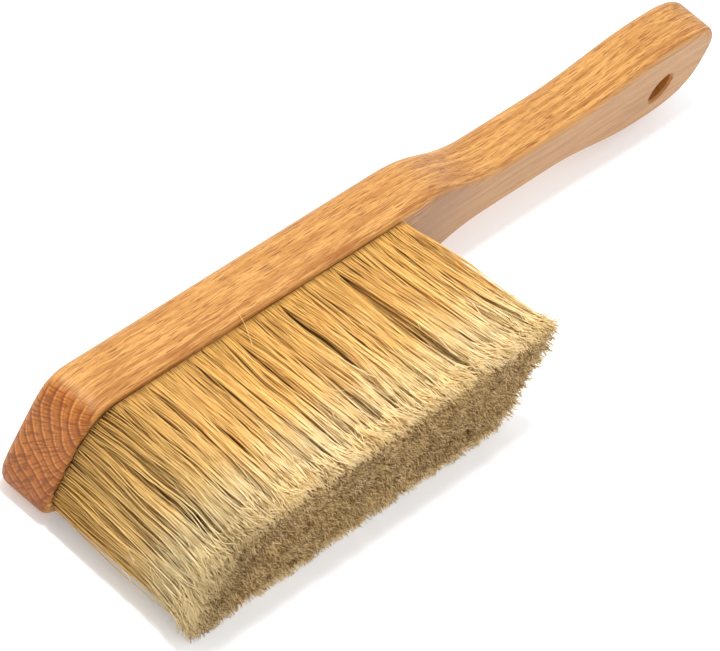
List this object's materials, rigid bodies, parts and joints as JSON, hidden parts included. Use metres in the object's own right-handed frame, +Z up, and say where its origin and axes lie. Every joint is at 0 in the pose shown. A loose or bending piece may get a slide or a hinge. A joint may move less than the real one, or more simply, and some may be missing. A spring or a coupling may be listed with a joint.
{
  "type": "bench brush",
  "caption": "Baker's bench brush: one-piece beech head and waisted handle with a hanging hole, and rows of long trimmed hog-bristle tufts held by wire anchors.",
  "frame": {"origin": "middle of the flat lower side of the head, the face that the brush rests on when it lies on its side", "axes": "+X from the nose to the hanging end of the handle, -Y the way the bristles point, +Z up, across the head's width"},
  "size_m": [0.3556, 0.075, 0.046],
  "materials": {
    "beech": "satin, fine sanded, with ray flecks along the grain",
    "hog_bristle": "natural blond bristle, pale at the flagged tips",
    "anchor_wire": "drawn flat wire"
  },
  "bodies": {
    "root": {"beech_body": "beech", "bristle_tufts_row_1": "hog_bristle", "bristle_tufts_row_2": "hog_bristle", "bristle_tufts_row_3": "hog_bristle", "bristle_tufts_row_4": "hog_bristle", "bristle_tufts_row_5": "hog_bristle", "wire_anchors_row_1": "anchor_wire", "wire_anchors_row_2": "anchor_wire", "wire_anchors_row_3": "anchor_wire", "wire_anchors_row_4": "anchor_wire", "wire_anchors_row_5": "anchor_wire"}
  },
  "joints": []
}
